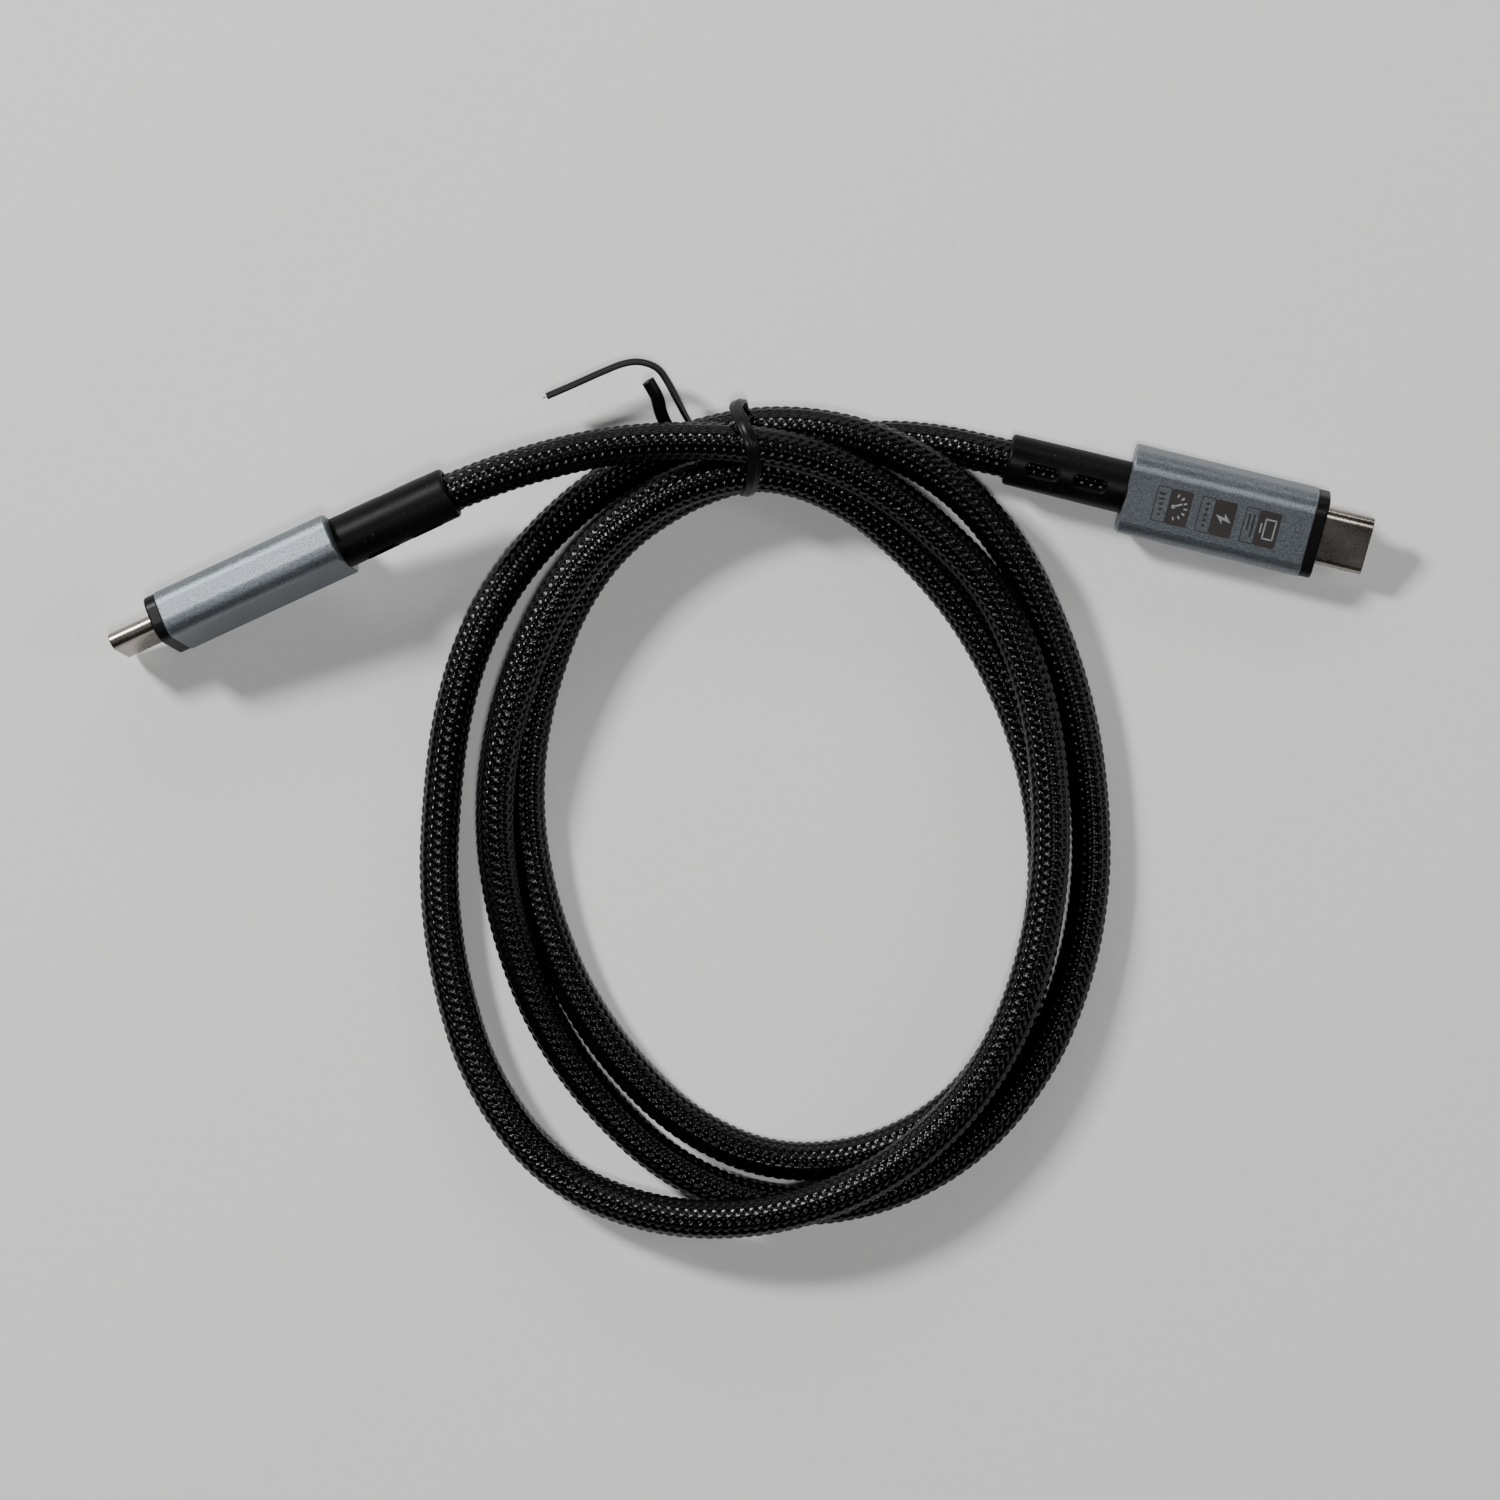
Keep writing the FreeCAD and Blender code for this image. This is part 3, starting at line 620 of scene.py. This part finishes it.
def boot_material():
    """Moulded black rubber: a fine mould grain, with a little pale dust."""
    n = Nodes("moulded_rubber")
    fine, patches = n.noise(3600, 3, 0.6), n.noise(130, 3)
    dust = n.spread(n.noise(2100, 2, 0.5), 0.71, 0.77, 0, 0.6)
    base = n.mix(n.spread(patches, 0.35, 0.65, 0, 1), (0.0018, 0.0018, 0.002), (0.004, 0.004, 0.0045))
    colour = n.mix(dust, base, (0.10, 0.10, 0.10))
    gloss = n.spread(n.math("ADD", patches, n.math("MULTIPLY", fine, 0.3)), 0.4, 0.9, 0.36, 0.5)
    return n.finish(colour, gloss, n.bump(fine, 0.02 * MM, 0.6), **{"Specular_IOR_Level": 0.1})


def housing_material():
    """Bead-blasted aluminium under grey anodising: a fine sparkle, worn bright along its rims."""
    n = Nodes("anodised_aluminium")
    sparkle, patches = n.noise(4200, 3, 0.75), n.noise(90, 3)
    tone = n.math("ADD", n.math("MULTIPLY", sparkle, 0.85), n.math("MULTIPLY", patches, 0.15))
    colour = n.mix(n.spread(tone, 0.36, 0.64, 0, 1), (0.085, 0.098, 0.112), (0.22, 0.242, 0.265))
    round_edge = n.rounded_edge(0.09 * MM)
    colour = n.mix(n.edge_mask(round_edge, 0.03, 0.14), colour, (0.62, 0.65, 0.68))
    gloss = n.spread(tone, 0.3, 0.7, 0.32, 0.46)
    normal = n.bump(sparkle, 0.05 * MM, 0.8, round_edge)
    return n.finish(colour, gloss, normal, Metallic=0.75)


FINISHES = {
    "anodised_housing": housing_material(),
    "cable_braid": braid_material(),
    "boot_rubber": boot_material(),
    "black_plastic": surface("satin_black", (0.003, 0.003, 0.0035), (0.007, 0.007, 0.0075), (0.28, 0.42),
                             4200, 0.012 * MM, Specular_IOR_Level=0.12),
    "plated_steel": surface("nickel_plate", (0.20, 0.175, 0.155), (0.37, 0.335, 0.30), (0.22, 0.34),
                            3800, 0.009 * MM, 1.0, worn=(0.7, 0.68, 0.65)),
    "spring_steel": surface("stamped_steel", (0.38, 0.38, 0.39), (0.55, 0.55, 0.56), (0.25, 0.4),
                            2200, 0.008 * MM, 1.0, stretch=(1, 6, 1)),
    "gold_contacts": surface("gold_plate", (0.62, 0.42, 0.13), (0.86, 0.63, 0.24), (0.16, 0.3),
                             2600, 0.005 * MM, 1.0),
    "circuit_board": surface("solder_mask", (0.006, 0.07, 0.03), (0.012, 0.12, 0.05), (0.25, 0.4),
                             1500, 0.01 * MM),
    "chip_plastic": surface("moulded_epoxy", (0.012, 0.012, 0.012), (0.03, 0.03, 0.03), (0.45, 0.6),
                            3800, 0.015 * MM),
    "wire_insulation": surface("wire_insulation", (0.42, 0.38, 0.33), (0.6, 0.56, 0.5), (0.3, 0.45),
                               1800, 0.008 * MM),
    "inner_plastic": surface("inner_moulding", (0.46, 0.46, 0.44), (0.6, 0.6, 0.58), (0.4, 0.55),
                             2600, 0.012 * MM),
    "ferrule_brass": surface("crimped_brass", (0.42, 0.32, 0.16), (0.6, 0.48, 0.26), (0.25, 0.42),
                             2400, 0.012 * MM, 1.0),
    "cable_jacket": surface("cable_jacket", (0.01, 0.01, 0.01), (0.02, 0.02, 0.02), (0.45, 0.6),
                            3000, 0.012 * MM),
    "tie_plastic": surface("tie_plastic", (0.003, 0.003, 0.0035), (0.008, 0.008, 0.009), (0.26, 0.4),
                           1700, 0.01 * MM, Specular_IOR_Level=0.16),
}


def paint(obj, material):
    if obj.data.materials:
        for held in obj.material_slots:
            held.material = material
    else:
        obj.data.materials.append(material)


node_slots = {part["node"]: part["material_slot"] for part in frame["record"]["subparts"]}
for node, obj in frame["nodes"].items():
    paint(obj, FINISHES[node_slots[node]])
for obj in list(bpy.context.scene.objects):
    if obj.type == "MESH" and "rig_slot" in obj:
        paint(obj, FINISHES[obj["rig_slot"]])

# ---------------------------------------------------------------- the marks

# In the connector's frame and mm. The marks lie on the housing's upper face.
MARK_FACE = 3.55
MARK_SUNK, MARK_THICK = 0.01, 0.02
SIGN_LIFT = 0.012
MARKS_AT = (6.57, 12.76, 19.02)
MARK_WIDTH = 5.2
PANEL_LENGTH, STRIP_LENGTH = 2.95, 2.05
OUTLINE = 0.15


def plate(name, outline, thick, base, matrix, hole=None):
    """A thin plate in mm on the housing's face, from an outline of x and y, with a hole if given."""
    n = len(outline)
    low = [(x, y, base) for x, y in outline]
    top = [(x, y, base + thick) for x, y in outline]
    if hole is None:
        points = low + top
        faces = [tuple(range(n - 1, -1, -1)), tuple(range(n, 2 * n))]
        faces += [(k, (k + 1) % n, n + (k + 1) % n, n + k) for k in range(n)]
    else:
        points = low + top + [(x, y, base) for x, y in hole] + [(x, y, base + thick) for x, y in hole]
        faces = []
        for k in range(n):
            j = (k + 1) % n
            faces += [(k, j, n + j, n + k), (2 * n + j, 2 * n + k, 3 * n + k, 3 * n + j),
                      (n + k, n + j, 3 * n + j, 3 * n + k), (j, k, 2 * n + k, 2 * n + j)]
    return add_mesh(name, [matrix @ (Vector(p) * MM) for p in points], faces, smooth=False)


def rounded(cx, cy, length, width, corner, per=6):
    """A rounded rectangle's outline."""
    out = []
    for sx, sy, start in ((1, 1, 0), (-1, 1, 90), (-1, -1, 180), (1, -1, 270)):
        for k in range(per + 1):
            a = math.radians(start + 90 * k / per)
            out.append((cx + sx * (length / 2 - corner) + corner * math.cos(a),
                        cy + sy * (width / 2 - corner) + corner * math.sin(a)))
    return out


def stroke(x0, y0, x1, y1, wide):
    """A straight bar between two points."""
    dx, dy = x1 - x0, y1 - y0
    d = math.hypot(dx, dy)
    px, py = -dy / d * wide / 2, dx / d * wide / 2
    return [(x0 + px, y0 + py), (x0 - px, y0 - py), (x1 - px, y1 - py), (x1 + px, y1 + py)]


mark_dark = surface("mark_ink", (0.020, 0.017, 0.015), (0.034, 0.029, 0.027), (0.4, 0.55), 5000,
                    0.006 * MM)
mark_light = surface("mark_bare", (0.40, 0.42, 0.44), (0.52, 0.54, 0.56), (0.35, 0.45), 4000, 0.006 * MM,
                     metal=0.7)


def mark(number, x, signs, ticks, matrix):
    """A dark panel with a light sign on it, beside an outlined strip with a few dark ticks."""
    base = MARK_FACE - MARK_SUNK
    panel_x = x + STRIP_LENGTH / 2
    strip_x = x - PANEL_LENGTH / 2
    outer = rounded(strip_x, 0, STRIP_LENGTH, MARK_WIDTH, 0.3)
    inner = rounded(strip_x, 0, STRIP_LENGTH - 2 * OUTLINE, MARK_WIDTH - 2 * OUTLINE, 0.2)
    panel = rounded(panel_x, 0, PANEL_LENGTH, MARK_WIDTH, 0.35)
    dark = [plate(f"mark_{number}_panel", panel, MARK_THICK, base, matrix),
            plate(f"mark_{number}_strip", outer, MARK_THICK, base, matrix, hole=inner)]
    for k, (x_from, y, length, width) in enumerate(ticks):
        tick = rounded(strip_x + x_from, y, length, width, min(length, width) * 0.4)
        dark.append(plate(f"mark_{number}_tick_{k + 1}", tick, MARK_THICK, base, matrix))
    light = [plate(f"mark_{number}_sign_{k + 1}", [(panel_x + px, py) for px, py in outline],
                   MARK_THICK, base + SIGN_LIFT, matrix)
             for k, outline in enumerate(signs)]
    for parts, material in ((dark, mark_dark), (light, mark_light)):
        for part in parts:
            paint(part, material)
            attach(part, "right_connector")
            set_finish(part, "anodised_housing")


# Each sign is a list of outlines, and each set of ticks a list of x, y, length and width.
DIAL_MIDDLE = -0.85
DIAL_BAR, SCREEN_BAR = 0.24, 0.22
SPOKES = 7


def spokes(inner, outer, start, end):
    """Short bars round the dial's middle, at even angles from start to end."""
    out = []
    for k in range(SPOKES):
        a = math.radians(start + (end - start) * k / (SPOKES - 1))
        out.append(stroke(DIAL_MIDDLE + inner * math.cos(a), inner * math.sin(a),
                          DIAL_MIDDLE + outer * math.cos(a), outer * math.sin(a), DIAL_BAR))
    return out


NEEDLE = stroke(DIAL_MIDDLE, 0, 0.25, 0.62, DIAL_BAR)
DIAL = spokes(1.45, 1.95, -78, 78) + [NEEDLE, rounded(DIAL_MIDDLE, 0, 0.56, 0.56, 0.27)]
BOLT = [[(1.15, -0.42), (0.05, 0.82), (0.16, 0.16), (-1.15, 0.42), (-0.05, -0.82), (-0.16, -0.16)]]
SCREEN = [stroke(0.9, -1.5, 0.9, 1.5, SCREEN_BAR), stroke(-0.5, -1.5, -0.5, 1.5, SCREEN_BAR),
          stroke(-0.6, -1.4, 1.0, -1.4, SCREEN_BAR), stroke(-0.6, 1.4, 1.0, 1.4, SCREEN_BAR),
          stroke(-1.0, -0.7, -1.0, 0.7, SCREEN_BAR)]
BARS = [(-0.05 * k, -1.5 + 0.75 * k, 0.35 + 0.16 * k, 0.34) for k in range(5)]
DOTS = [(0, -1.6 + 0.8 * k, 0.46, 0.46) for k in range(5)]
DASHES = [(0.32, 0, 0.26, 3.4), (-0.32, 0.5, 0.26, 2.4)]
right_at = placement(RIGHT)
for number, (x, signs, ticks) in enumerate(zip(MARKS_AT, (DIAL, BOLT, SCREEN), (BARS, DOTS, DASHES))):
    mark(number + 1, x, signs, ticks, right_at)

# ------------------------------------------------------------ floor and light

FLOOR_GAP = 0.02 * MM
REACH = 3  # metres from the middle to the floor's sides
corners = [(-REACH, -REACH, 0), (REACH, -REACH, 0), (REACH, REACH, 0), (-REACH, REACH, 0)]
floor = add_mesh("floor", corners, [(0, 1, 2, 3)], smooth=False)
floor.location.z = -FLOOR_GAP
floor_nodes = Nodes("pale_floor")
paper = floor_nodes.noise(700, 3)
floor.data.materials.append(floor_nodes.finish(
    floor_nodes.mix(paper, (0.76, 0.76, 0.75), (0.82, 0.82, 0.81)), 0.8,
    floor_nodes.bump(paper, 0.05 * MM, 0.3)))


def softbox(name, at, size, power):
    lamp = bpy.data.lights.new(name, "AREA")
    lamp.shape = "RECTANGLE"
    lamp.size, lamp.size_y = size
    lamp.energy = power
    obj = bpy.data.objects.new(name, lamp)
    obj.location = at
    obj.rotation_euler = (Vector((0, 0, 0)) - Vector(at)).to_track_quat("-Z", "Y").to_euler()
    bpy.context.scene.collection.objects.link(obj)


softbox("key", (-0.80, 0.60, 0.78), (0.2, 0.2), 18.0)
softbox("top_bank", (0.05, 0.85, 0.42), (0.8, 0.16), 2.2)
softbox("overhead", (0.02, -0.14, 1.02), (0.09, 0.09), 3.2)
softbox("right_fill", (0.75, 0.0, 0.45), (0.15, 0.4), 1.2)
world = bpy.data.worlds.new("studio")
world.use_nodes = True
world.node_tree.nodes["Background"].inputs["Color"].default_value = (0.9, 0.95, 1.0, 1)
world.node_tree.nodes["Background"].inputs["Strength"].default_value = 0.025
bpy.context.scene.world = world
